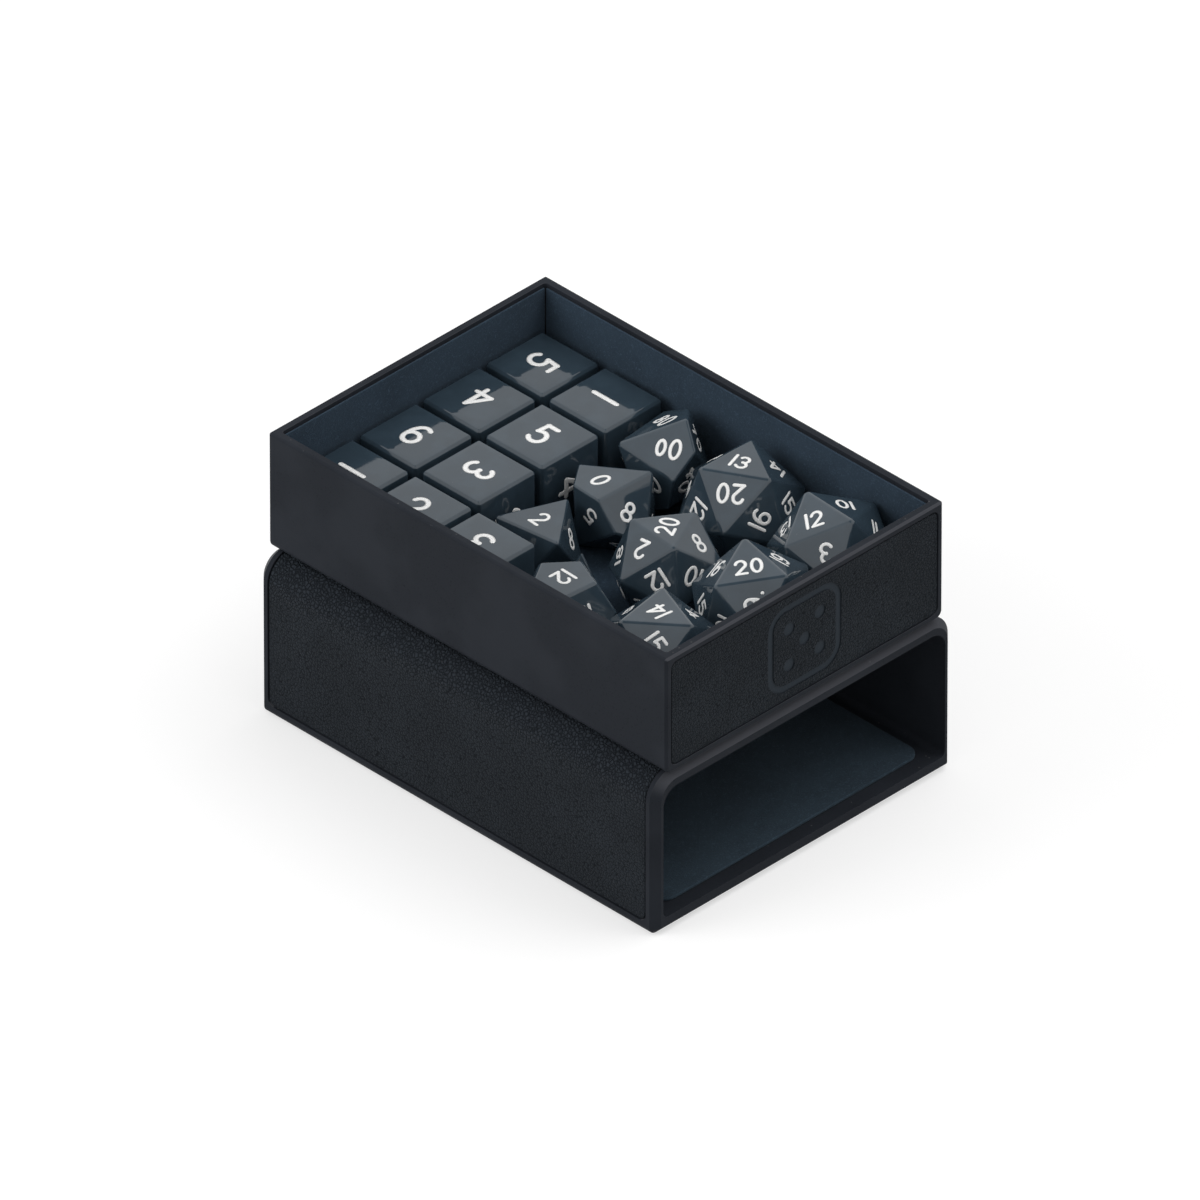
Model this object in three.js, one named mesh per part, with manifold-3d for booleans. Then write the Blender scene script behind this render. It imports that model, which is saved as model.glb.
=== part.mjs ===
// Dice storage chest: a slip sleeve open at both ends, a felt-lined drawer that slides through it and
// here stands on the sleeve's roof, and the nineteen dice that the drawer carries.
// Millimetres, +Z up. The sleeve stands on z = 0, its length runs along Y and its front end faces -Y.
import * as THREE from 'three';
import { ConvexGeometry } from 'three/addons/geometries/ConvexGeometry.js';
import { mergeVertices } from 'three/addons/utils/BufferGeometryUtils.js';
import Module from 'manifold-3d';

const wasm = await Module();
wasm.setup();

// Dice: a set made in proportion to its cube
const CUBE_EDGE = 15.0;
const CUBE_GAP = 1.1;
const D20_EDGE_SHARE = 0.88;
const SMALL_D20_EDGE_SHARE = 0.807;
const D12_EDGE_SHARE = 0.487;
const D10_RADIUS_SHARE = 0.693; // of its zigzag waist
const D10_HALF_HEIGHT_SHARE = 0.667; // from its middle to a tip
const D8_EDGE_SHARE = 0.967;
const D4_EDGE_SHARE = 1.013;
const DIE_SEAT_GAP = 0.1;
const DIE_FACE_SHARE = 0.93; // how much of a die's face stays flat inside its chamfers

// Bed of the drawer: it would take this many cubes across and along
const BED_COLUMN_COUNT = 4;
const BED_ROW_COUNT = 6;
const BED_SIDE_PLAY = 0.8;
const BED_END_PLAY = 0.05;

// Drawer
const DRAWER_HEIGHT = 25.2;
const DRAWER_WALL = 1.75;
const DRAWER_FLOOR = 1.0;
const DRAWER_KEEL_RADIUS = 1.7; // the long lower edges
const DRAWER_RIM_RADIUS = 0.6; // the long upper edges
const DRAWER_END_CHAMFER = 0.45; // the upright corners and the ends' edges
const DRAWER_INNER_CORNER = 0.6;

// Felt in the drawer
const LINING_THICKNESS = 0.4;
const LINING_DROP = 0.8; // how far the lining stops below the rim
const DRAWER_FELT = 0.3;
const GLUE_LINE = 0.05;

// Sleeve: its cavity takes the drawer, and its walls stand round the cavity
const DRAWER_SIDE_CLEARANCE = 0.65;
const DRAWER_TOP_CLEARANCE = 1.8;
const SLEEVE_SIDE_WALL = 2.1;
const SLEEVE_ROOF = 3.0;
const SLEEVE_FLOOR = 3.4;
const SHOULDER_RADIUS = 5.5;
const FOOT_RADIUS = 1.7;
const RIM_CHAMFER = 1.5;
const CAVITY_TOP_RADIUS = 3.6;
const CAVITY_FOOT_RADIUS = 1.2;
const REST_GAP = 0.2; // between the roof and the drawer that stands on it

// Felt pad on the sleeve's floor
const PAD_THICKNESS = 0.8;
const PAD_MARGIN = 2.9;
const PAD_CORNER = 3.0;

// Leather wrap round the sleeve: it lies in a shallow pocket with an open seam at its edge
const WRAP_THICKNESS = 0.6;
const WRAP_RECESS = 0.1;
const WRAP_SEAM = 0.25;
const WRAP_END_BORDER = 1.2;
const WRAP_FOOT = 2.6;
const WRAP_CORNER = 1.4;

// Leather panel on the drawer's front
const PANEL_THICKNESS = 0.6;
const PANEL_RECESS = 0.1;
const PANEL_SEAM = 0.25;
const PANEL_BORDER = 1.55;
const PANEL_CORNER = 1.2;

// Mark pressed into the panel: a plain die face with five pips
const MARK_SIZE = 18.6;
const MARK_CORNER = 4.6;
const MARK_BAND = 1.4;
const MARK_DEPTH = 0.25;
const PIP_RADIUS = 1.35;
const PIP_SPACING = 3.9;

const CURVE_STEPS = 8;
const ROUND_STEPS = 24;
const THREEFOLD = 3;
const FIVEFOLD = 5;
const TRIANGLE_CORNERS = 3;
const CUT_OVERRUN = 4.0;

// Sizes that follow
const CUBE_PITCH = CUBE_EDGE + CUBE_GAP;
const D20_EDGE = D20_EDGE_SHARE * CUBE_EDGE;
const SMALL_D20_EDGE = SMALL_D20_EDGE_SHARE * CUBE_EDGE;
const D12_EDGE = D12_EDGE_SHARE * CUBE_EDGE;
const D10_RADIUS = D10_RADIUS_SHARE * CUBE_EDGE;
const D10_HALF_HEIGHT = D10_HALF_HEIGHT_SHARE * CUBE_EDGE;
const D8_EDGE = D8_EDGE_SHARE * CUBE_EDGE;
const D4_EDGE = D4_EDGE_SHARE * CUBE_EDGE;
const BED_HALF_WIDTH = (BED_COLUMN_COUNT * CUBE_PITCH) / 2 + BED_SIDE_PLAY;
const BED_HALF_LENGTH = (BED_ROW_COUNT * CUBE_PITCH) / 2 + BED_END_PLAY;
const BED_TOP = DRAWER_FLOOR + GLUE_LINE + DRAWER_FELT;
const LINING_STAND_OFF = DRAWER_WALL + GLUE_LINE + LINING_THICKNESS;
const DRAWER_WIDTH = 2 * (BED_HALF_WIDTH + LINING_STAND_OFF);
const DRAWER_LENGTH = 2 * (BED_HALF_LENGTH + LINING_STAND_OFF);
const SLEEVE_LENGTH = DRAWER_LENGTH;
const CAVITY_WIDTH = DRAWER_WIDTH + 2 * DRAWER_SIDE_CLEARANCE;
const CAVITY_HEIGHT = PAD_THICKNESS + DRAWER_HEIGHT + DRAWER_TOP_CLEARANCE;
const SLEEVE_WIDTH = CAVITY_WIDTH + 2 * SLEEVE_SIDE_WALL;
const SLEEVE_HEIGHT = SLEEVE_FLOOR + CAVITY_HEIGHT + SLEEVE_ROOF;
const WRAP_POCKET = WRAP_RECESS + WRAP_THICKNESS + GLUE_LINE;
const PANEL_POCKET = PANEL_RECESS + PANEL_THICKNESS + GLUE_LINE;
const DRAWER_BASE = SLEEVE_HEIGHT + REST_GAP;

function finish(color, roughness, metalness = 0) {
  return new THREE.MeshStandardMaterial({ color, roughness, metalness });
}

const shellFinish = finish(0x2b2e32, 0.45);
const leatherFinish = finish(0x242729, 0.75);
const feltFinish = finish(0x1e2a34, 0.95);
const diceFinish = finish(0x3a444e, 0.2);

// Solids from closed geometries, for the cuts
function solidOf(geometry) {
  const bare = geometry.clone();
  bare.deleteAttribute('normal');
  bare.deleteAttribute('uv');
  const merged = mergeVertices(bare);
  return new wasm.Manifold(new wasm.Mesh({
    numProp: 3,
    vertProperties: new Float32Array(merged.attributes.position.array),
    triVerts: new Uint32Array(merged.index.array),
  }));
}

function geometryOf(solid) {
  const mesh = solid.getMesh();
  const geometry = new THREE.BufferGeometry();
  geometry.setAttribute('position', new THREE.BufferAttribute(new Float32Array(mesh.vertProperties), 3));
  geometry.setIndex(new THREE.BufferAttribute(new Uint32Array(mesh.triVerts), 1));
  geometry.computeVertexNormals();
  return geometry;
}

// A rectangle whose lower and upper corners have radii of their own
function roundedOutline(left, right, bottom, top, lowerRadius, upperRadius) {
  const outline = new THREE.Shape();
  outline.moveTo(left + lowerRadius, bottom);
  outline.lineTo(right - lowerRadius, bottom);
  outline.absarc(right - lowerRadius, bottom + lowerRadius, lowerRadius, -Math.PI / 2, 0, false);
  outline.lineTo(right, top - upperRadius);
  outline.absarc(right - upperRadius, top - upperRadius, upperRadius, 0, Math.PI / 2, false);
  outline.lineTo(left + upperRadius, top);
  outline.absarc(left + upperRadius, top - upperRadius, upperRadius, Math.PI / 2, Math.PI, false);
  outline.lineTo(left, bottom + lowerRadius);
  outline.absarc(left + lowerRadius, bottom + lowerRadius, lowerRadius, Math.PI, 1.5 * Math.PI, false);
  return outline;
}

// An outline in X and Z, run along Y and centred there, with its ends chamfered
function runAlongY(outline, length, chamfer = 0) {
  const geometry = new THREE.ExtrudeGeometry(outline, {
    depth: length - 2 * chamfer,
    curveSegments: CURVE_STEPS,
    bevelEnabled: chamfer > 0,
    bevelThickness: chamfer,
    bevelSize: chamfer,
    bevelOffset: -chamfer,
    bevelSegments: 1,
  });
  geometry.rotateX(Math.PI / 2);
  geometry.translate(0, length / 2 - chamfer, 0);
  return geometry;
}

// An outline in Y and Z, run along X and centred there
function runAlongX(outline, length) {
  const geometry = new THREE.ExtrudeGeometry(outline, {
    depth: length, curveSegments: CURVE_STEPS, bevelEnabled: false,
  });
  const turn = new THREE.Matrix4().makeBasis(
    new THREE.Vector3(0, 1, 0), new THREE.Vector3(0, 0, 1), new THREE.Vector3(1, 0, 0));
  geometry.applyMatrix4(turn);
  geometry.translate(-length / 2, 0, 0);
  return geometry;
}

// An outline in X and Y, run up from a height
function runUp(outline, base, height) {
  const geometry = new THREE.ExtrudeGeometry(outline, {
    depth: height, curveSegments: CURVE_STEPS, bevelEnabled: false,
  });
  geometry.translate(0, 0, base);
  return geometry;
}

function sleeveOutline(inset) {
  const foot = Math.max(FOOT_RADIUS - inset, GLUE_LINE);
  const shoulder = Math.max(SHOULDER_RADIUS - inset, GLUE_LINE);
  const half = SLEEVE_WIDTH / 2 - inset;
  return roundedOutline(-half, half, inset, SLEEVE_HEIGHT - inset, foot, shoulder);
}

// The sheet between two depths below the sleeve's surface, trimmed to the wrap's outline seen from the side
function wrapSheet(outerDepth, innerDepth, margin) {
  const outer = solidOf(runAlongY(sleeveOutline(outerDepth), SLEEVE_LENGTH));
  const inner = solidOf(runAlongY(sleeveOutline(innerDepth), SLEEVE_LENGTH + 2 * CUT_OVERRUN));
  const reach = SLEEVE_LENGTH / 2 - RIM_CHAMFER - WRAP_END_BORDER + margin;
  const side = roundedOutline(-reach, reach, WRAP_FOOT - margin, SLEEVE_HEIGHT + CUT_OVERRUN,
    WRAP_CORNER + margin, GLUE_LINE);
  const window = solidOf(runAlongX(side, SLEEVE_WIDTH + 2 * CUT_OVERRUN));
  return outer.subtract(inner).intersect(window);
}

function sleeveCase() {
  const body = solidOf(runAlongY(sleeveOutline(0), SLEEVE_LENGTH, RIM_CHAMFER));
  const half = CAVITY_WIDTH / 2;
  const mouth = roundedOutline(-half, half, SLEEVE_FLOOR, SLEEVE_FLOOR + CAVITY_HEIGHT,
    CAVITY_FOOT_RADIUS, CAVITY_TOP_RADIUS);
  const cavity = solidOf(runAlongY(mouth, SLEEVE_LENGTH + 2 * CUT_OVERRUN));
  const pocket = wrapSheet(-CUT_OVERRUN, WRAP_POCKET, WRAP_SEAM);
  return geometryOf(body.subtract(cavity).subtract(pocket));
}

function sleeveWrap() {
  return geometryOf(wrapSheet(WRAP_RECESS, WRAP_RECESS + WRAP_THICKNESS, 0));
}

function sleevePad() {
  const halfWidth = CAVITY_WIDTH / 2 - PAD_MARGIN;
  const halfLength = SLEEVE_LENGTH / 2 - PAD_MARGIN;
  const outline = roundedOutline(-halfWidth, halfWidth, -halfLength, halfLength, PAD_CORNER, PAD_CORNER);
  return runUp(outline, SLEEVE_FLOOR + GLUE_LINE, PAD_THICKNESS - GLUE_LINE);
}

// The drawer's own pieces are drawn with its underside at z = 0
function panelOutline(margin) {
  const half = DRAWER_WIDTH / 2 - PANEL_BORDER + margin;
  const bottom = PANEL_BORDER - margin;
  const top = DRAWER_HEIGHT - PANEL_BORDER + margin;
  const corner = PANEL_CORNER + margin;
  return roundedOutline(-half, half, bottom, top, corner, corner);
}

function drawerTray() {
  const half = DRAWER_WIDTH / 2;
  const section = roundedOutline(-half, half, 0, DRAWER_HEIGHT, DRAWER_KEEL_RADIUS, DRAWER_RIM_RADIUS);
  const body = solidOf(runAlongY(section, DRAWER_LENGTH, DRAWER_END_CHAMFER));
  const innerHalf = half - DRAWER_WALL;
  const innerReach = DRAWER_LENGTH / 2 - DRAWER_WALL;
  const well = roundedOutline(-innerHalf, innerHalf, -innerReach, innerReach,
    DRAWER_INNER_CORNER, DRAWER_INNER_CORNER);
  const hollow = solidOf(runUp(well, DRAWER_FLOOR, DRAWER_HEIGHT));
  const pocketGeometry = runAlongY(panelOutline(PANEL_SEAM), 2 * PANEL_POCKET);
  pocketGeometry.translate(0, -DRAWER_LENGTH / 2, 0);
  return geometryOf(body.subtract(hollow).subtract(solidOf(pocketGeometry)));
}

function dieFaceMark() {
  const half = MARK_SIZE / 2;
  const middle = DRAWER_HEIGHT / 2;
  const inner = half - MARK_BAND;
  const innerCorner = MARK_CORNER - MARK_BAND;
  const ring = roundedOutline(-half, half, middle - half, middle + half, MARK_CORNER, MARK_CORNER);
  ring.holes.push(roundedOutline(-inner, inner, middle - inner, middle + inner, innerCorner, innerCorner));
  const tools = [solidOf(runAlongY(ring, 2 * MARK_DEPTH))];
  for (const [across, up] of [[0, 0], [-1, -1], [-1, 1], [1, -1], [1, 1]]) {
    const pip = new THREE.CylinderGeometry(PIP_RADIUS, PIP_RADIUS, 2 * MARK_DEPTH, ROUND_STEPS);
    pip.translate(across * PIP_SPACING, 0, middle + up * PIP_SPACING);
    tools.push(solidOf(pip));
  }
  return tools.reduce((all, tool) => all.add(tool));
}

function drawerPanel() {
  const front = -DRAWER_LENGTH / 2 + PANEL_RECESS;
  const sheet = runAlongY(panelOutline(0), PANEL_THICKNESS);
  sheet.translate(0, front + PANEL_THICKNESS / 2, 0);
  const mark = dieFaceMark().translate([0, front, 0]);
  return geometryOf(solidOf(sheet).subtract(mark));
}

function drawerFelt() {
  const outline = roundedOutline(-BED_HALF_WIDTH, BED_HALF_WIDTH, -BED_HALF_LENGTH, BED_HALF_LENGTH,
    DRAWER_INNER_CORNER, DRAWER_INNER_CORNER);
  return runUp(outline, DRAWER_FLOOR + GLUE_LINE, DRAWER_FELT);
}

// Linings stand on the drawer's floor; the short ones fit between the long ones
function lining(width, length) {
  const height = DRAWER_HEIGHT - LINING_DROP - DRAWER_FLOOR - GLUE_LINE;
  const geometry = new THREE.BoxGeometry(width, length, height);
  geometry.translate(0, 0, DRAWER_FLOOR + GLUE_LINE + height / 2);
  return geometry;
}

// Dice: corner points of each solid, with one face level on top and one level below where it has two
function cubeCorners() {
  const half = CUBE_EDGE / 2;
  const corners = [];
  for (const x of [-half, half]) {
    for (const y of [-half, half]) {
      for (const z of [-half, half]) corners.push(new THREE.Vector3(x, y, z));
    }
  }
  return corners;
}

// Rings of points about the vertical, each ring given by its radius, its height and its first angle
function rings(sides, levels) {
  const points = [];
  for (const [radius, height, first] of levels) {
    for (let k = 0; k < sides; k += 1) {
      const angle = first + (2 * Math.PI * k) / sides;
      points.push(new THREE.Vector3(radius * Math.cos(angle), radius * Math.sin(angle), height));
    }
  }
  return points;
}

function d20Corners(edge) {
  const golden = (1 + Math.sqrt(5)) / 2;
  const outerRadius = (edge * Math.sqrt(golden * Math.sqrt(5))) / 2;
  const topRadius = edge / Math.sqrt(3);
  const topHeight = Math.sqrt(outerRadius ** 2 - topRadius ** 2);
  const waistRadius = topRadius * golden;
  const waistHeight = Math.sqrt(outerRadius ** 2 - waistRadius ** 2);
  const half = Math.PI / THREEFOLD;
  return rings(THREEFOLD, [[topRadius, topHeight, 0], [waistRadius, waistHeight, half],
    [waistRadius, -waistHeight, 0], [topRadius, -topHeight, half]]);
}

function d12Corners() {
  const golden = (1 + Math.sqrt(5)) / 2;
  const half = Math.PI / FIVEFOLD;
  const outerRadius = (D12_EDGE * Math.sqrt(3) * golden) / 2;
  const topRadius = D12_EDGE / (2 * Math.sin(half));
  const topHeight = Math.sqrt(outerRadius ** 2 - topRadius ** 2);
  const waistRadius = topRadius * golden;
  const waistHeight = Math.sqrt(outerRadius ** 2 - waistRadius ** 2);
  return rings(FIVEFOLD, [[topRadius, topHeight, 0], [waistRadius, waistHeight, 0],
    [waistRadius, -waistHeight, half], [topRadius, -topHeight, half]]);
}

function d8Corners() {
  const radius = D8_EDGE / Math.sqrt(3);
  const height = D8_EDGE * Math.sqrt(1 / 6);
  return rings(THREEFOLD, [[radius, height, 0], [radius, -height, Math.PI / THREEFOLD]]);
}

function d4Corners() {
  const radius = D4_EDGE / Math.sqrt(3);
  const height = D4_EDGE * Math.sqrt(2 / 3);
  return [...rings(THREEFOLD, [[radius, 0, 0]]), new THREE.Vector3(0, 0, height)];
}

// Ten kites about two tips; the zigzag of the waist keeps each kite flat. Turned so that one kite
// lies level.
function d10Corners() {
  const half = Math.PI / FIVEFOLD;
  const zigzag = (D10_HALF_HEIGHT * (1 - Math.cos(half))) / (1 + Math.cos(half));
  const points = rings(FIVEFOLD, [[D10_RADIUS, -zigzag, 0], [D10_RADIUS, zigzag, half]]);
  points.push(new THREE.Vector3(0, 0, D10_HALF_HEIGHT), new THREE.Vector3(0, 0, -D10_HALF_HEIGHT));
  const slope = Math.atan2(D10_HALF_HEIGHT + zigzag, D10_RADIUS);
  const level = new THREE.Matrix4().makeRotationY(-slope);
  return points.map((point) => point.applyMatrix4(level));
}

// Corner points of each flat face, found by the faces' normals on the convex solid
function faceCorners(corners) {
  const hull = mergeVertices(new ConvexGeometry(corners));
  const bare = hull.toNonIndexed().attributes.position;
  const faces = new Map();
  const triangle = new THREE.Triangle();
  const normal = new THREE.Vector3();
  for (let k = 0; k < bare.count; k += TRIANGLE_CORNERS) {
    triangle.setFromAttributeAndIndices(bare, k, k + 1, k + 2);
    triangle.getNormal(normal);
    const key = normal.toArray().map((part) => Math.round(part * 100)).join();
    if (!faces.has(key)) faces.set(key, new Map());
    for (const corner of [triangle.a, triangle.b, triangle.c]) {
      faces.get(key).set(corner.toArray().map((part) => part.toFixed(2)).join(), corner.clone());
    }
  }
  return [...faces.values()].map((face) => [...face.values()]);
}

// A die with chamfered edges and corners: the hull of its faces, each drawn in towards its middle
function die(corners) {
  const points = [];
  for (const face of faceCorners(corners)) {
    const middle = face.reduce((sum, corner) => sum.add(corner), new THREE.Vector3());
    middle.divideScalar(face.length);
    for (const corner of face) points.push(middle.clone().lerp(corner, DIE_FACE_SHARE));
  }
  return new ConvexGeometry(points);
}

// How each die that isn't a cube lies: its place across and along as shares of the bed's halves, its
// turn about the vertical, its lean off the level against its neighbours, and the heading that it
// leans to, in degrees
const D20_PLACE_SHARES = [
  [0.669, -0.2545, 149.1, 0, 0],
  [0.67, -0.7304, 233.7, 20, 1.7],
  [0.0306, -0.7602, 290.4, 10.7, 190.3],
  [-0.6477, -0.7197, 159.1, 0, 0],
];
const SMALL_D20_PLACE_SHARES = [0.0039, -0.3207, 115.7, 0, 0];
const D12_PLACE_SHARES = [-0.6746, -0.2385, 157.5, 0, 0];
const D10_PLACE_SHARES = [0.2715, 0.1364, 152, 0, 0];
const D10_TENS_PLACE_SHARES = [0.7145, 0.1702, 340.7, 28.6, 94.6];
const D8_PLACE_SHARES = [-0.2355, 0.1804, 127.7, 0, 0];
const D4_PLACE_SHARES = [-0.3114, -0.0889, 31.3, 0, 0];

// How many cubes stand in each row, from the back wall on, each row filled from -X
const CUBE_ROW_COUNTS = [4, 4, 1];

function piece(name, geometry, material) {
  const mesh = new THREE.Mesh(geometry, material);
  mesh.name = name;
  return mesh;
}

// The die's lowest point comes to z = 0
function setDown(geometry) {
  geometry.computeBoundingBox();
  return geometry.translate(0, 0, -geometry.boundingBox.min.z);
}

function placedDie(name, geometry, [acrossShare, alongShare, turn, lean, heading]) {
  const [turned, leant, headed] = [turn, lean, heading].map(THREE.MathUtils.degToRad);
  const hinge = new THREE.Vector3(-Math.sin(headed), Math.cos(headed), 0);
  const posed = geometry.clone().rotateZ(turned);
  posed.applyMatrix4(new THREE.Matrix4().makeRotationAxis(hinge, leant));
  const mesh = piece(name, setDown(posed), diceFinish);
  mesh.position.set(acrossShare * BED_HALF_WIDTH, alongShare * BED_HALF_LENGTH, 0);
  return mesh;
}

function diceInBed() {
  const dice = new THREE.Group();
  dice.position.z = BED_TOP + DIE_SEAT_GAP;
  const cube = setDown(die(cubeCorners()));
  let made = 0;
  CUBE_ROW_COUNTS.forEach((count, row) => {
    for (let column = 0; column < count; column += 1) {
      made += 1;
      const mesh = piece(`d6_${made}`, cube, diceFinish);
      mesh.position.x = (column - (BED_COLUMN_COUNT - 1) / 2) * CUBE_PITCH;
      mesh.position.y = BED_HALF_LENGTH - BED_END_PLAY - (row + 0.5) * CUBE_PITCH;
      dice.add(mesh);
    }
  });
  const d20 = die(d20Corners(D20_EDGE));
  D20_PLACE_SHARES.forEach((place, k) => dice.add(placedDie(`d20_${k + 1}`, d20, place)));
  dice.add(placedDie('d20_small', die(d20Corners(SMALL_D20_EDGE)), SMALL_D20_PLACE_SHARES));
  const d10 = die(d10Corners());
  dice.add(placedDie('d12', die(d12Corners()), D12_PLACE_SHARES));
  dice.add(placedDie('d10', d10, D10_PLACE_SHARES));
  dice.add(placedDie('d10_tens', d10, D10_TENS_PLACE_SHARES));
  dice.add(placedDie('d8', die(d8Corners()), D8_PLACE_SHARES));
  dice.add(placedDie('d4', die(d4Corners()), D4_PLACE_SHARES));
  return dice;
}

function sleeve() {
  const assembly = new THREE.Group();
  assembly.add(piece('sleeve_case', sleeveCase(), shellFinish));
  assembly.add(piece('sleeve_leather_wrap', sleeveWrap(), leatherFinish));
  assembly.add(piece('sleeve_floor_felt', sleevePad(), feltFinish));
  return assembly;
}

function drawer() {
  const assembly = new THREE.Group();
  assembly.position.z = DRAWER_BASE;
  assembly.add(piece('drawer_tray', drawerTray(), shellFinish));
  assembly.add(piece('drawer_front_leather', drawerPanel(), leatherFinish));
  assembly.add(piece('drawer_floor_felt', drawerFelt(), feltFinish));
  const longRun = DRAWER_LENGTH - 2 * (DRAWER_WALL + DRAWER_INNER_CORNER);
  const shortRun = 2 * (BED_HALF_WIDTH - GLUE_LINE);
  const sideOffset = BED_HALF_WIDTH + LINING_THICKNESS / 2;
  const endOffset = BED_HALF_LENGTH + LINING_THICKNESS / 2;
  for (const [name, side] of [['left', -1], ['right', 1]]) {
    const felt = piece(`drawer_lining_${name}`, lining(LINING_THICKNESS, longRun), feltFinish);
    felt.position.x = side * sideOffset;
    assembly.add(felt);
  }
  for (const [name, side] of [['front', -1], ['rear', 1]]) {
    const felt = piece(`drawer_lining_${name}`, lining(shortRun, LINING_THICKNESS), feltFinish);
    felt.position.y = side * endOffset;
    assembly.add(felt);
  }
  assembly.add(diceInBed());
  return assembly;
}

const group = new THREE.Group();
group.add(sleeve(), drawer());

export default group;
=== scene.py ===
"""Dice storage chest: a leather-wrapped slip sleeve, its felt-lined drawer and the dice in it.

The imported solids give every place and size. Shells, skins and dice are finished copies of them,
and the numerals on the dice are modelled here.
"""

from __future__ import annotations

import logging
import math
from dataclasses import dataclass, field
from enum import Enum
from typing import Sequence, Union

import bmesh
import bpy
from mathutils import Matrix, Vector

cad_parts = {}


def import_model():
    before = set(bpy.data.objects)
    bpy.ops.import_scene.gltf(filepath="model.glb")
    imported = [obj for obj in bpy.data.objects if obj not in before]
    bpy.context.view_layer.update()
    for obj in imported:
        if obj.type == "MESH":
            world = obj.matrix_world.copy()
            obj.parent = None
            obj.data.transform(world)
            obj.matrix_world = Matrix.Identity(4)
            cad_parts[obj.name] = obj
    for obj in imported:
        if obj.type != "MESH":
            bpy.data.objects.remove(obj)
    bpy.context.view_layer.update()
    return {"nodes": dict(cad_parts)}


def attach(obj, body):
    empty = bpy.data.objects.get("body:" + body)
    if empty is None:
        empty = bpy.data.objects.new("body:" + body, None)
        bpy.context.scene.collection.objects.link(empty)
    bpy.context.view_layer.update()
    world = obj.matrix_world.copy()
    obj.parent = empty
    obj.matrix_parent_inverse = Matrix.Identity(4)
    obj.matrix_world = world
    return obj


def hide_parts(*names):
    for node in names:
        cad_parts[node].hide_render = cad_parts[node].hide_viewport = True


LOG = logging.getLogger("dice_chest")

MM = 0.001
WHITE = (1.0, 1.0, 1.0, 1.0)

# Corners nearer than this are one, in metres, and faces that turn by less are one, in degrees
MERGE_WITHIN = 0.002 * MM
FLAT_WITHIN = 0.6

# Edges that turn by less are shaded smooth, in degrees
SMOOTH_BELOW = 40.0
DIE_SMOOTH_BELOW = 60.0
ALL_SMOOTH = 180.0

Point = tuple[float, float]
Range = tuple[float, float]
Colour = tuple[float, float, float]
Socket = bpy.types.NodeSocket
Signal = Union[float, Socket]
Objects = dict[str, bpy.types.Object]
Materials = dict[str, bpy.types.Material]
NumberedFace = tuple[Vector, Vector, list[Vector]]


class Slot(Enum):
    """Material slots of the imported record."""

    SHELL = "moulded_shell"
    LEATHER = "leather"
    FELT = "felt"
    DICE = "dice_resin"
    NUMERALS = "numeral_paint"


class Body(Enum):
    """Bodies of the chest itself; each die has its own besides."""

    SLEEVE = "sleeve"
    DRAWER = "drawer"


class DieKind(Enum):
    """Kinds of dice, by their number of main faces."""

    D4 = 4
    D6 = 6
    D8 = 8
    D10 = 10
    D12 = 12
    D20 = 20


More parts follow.
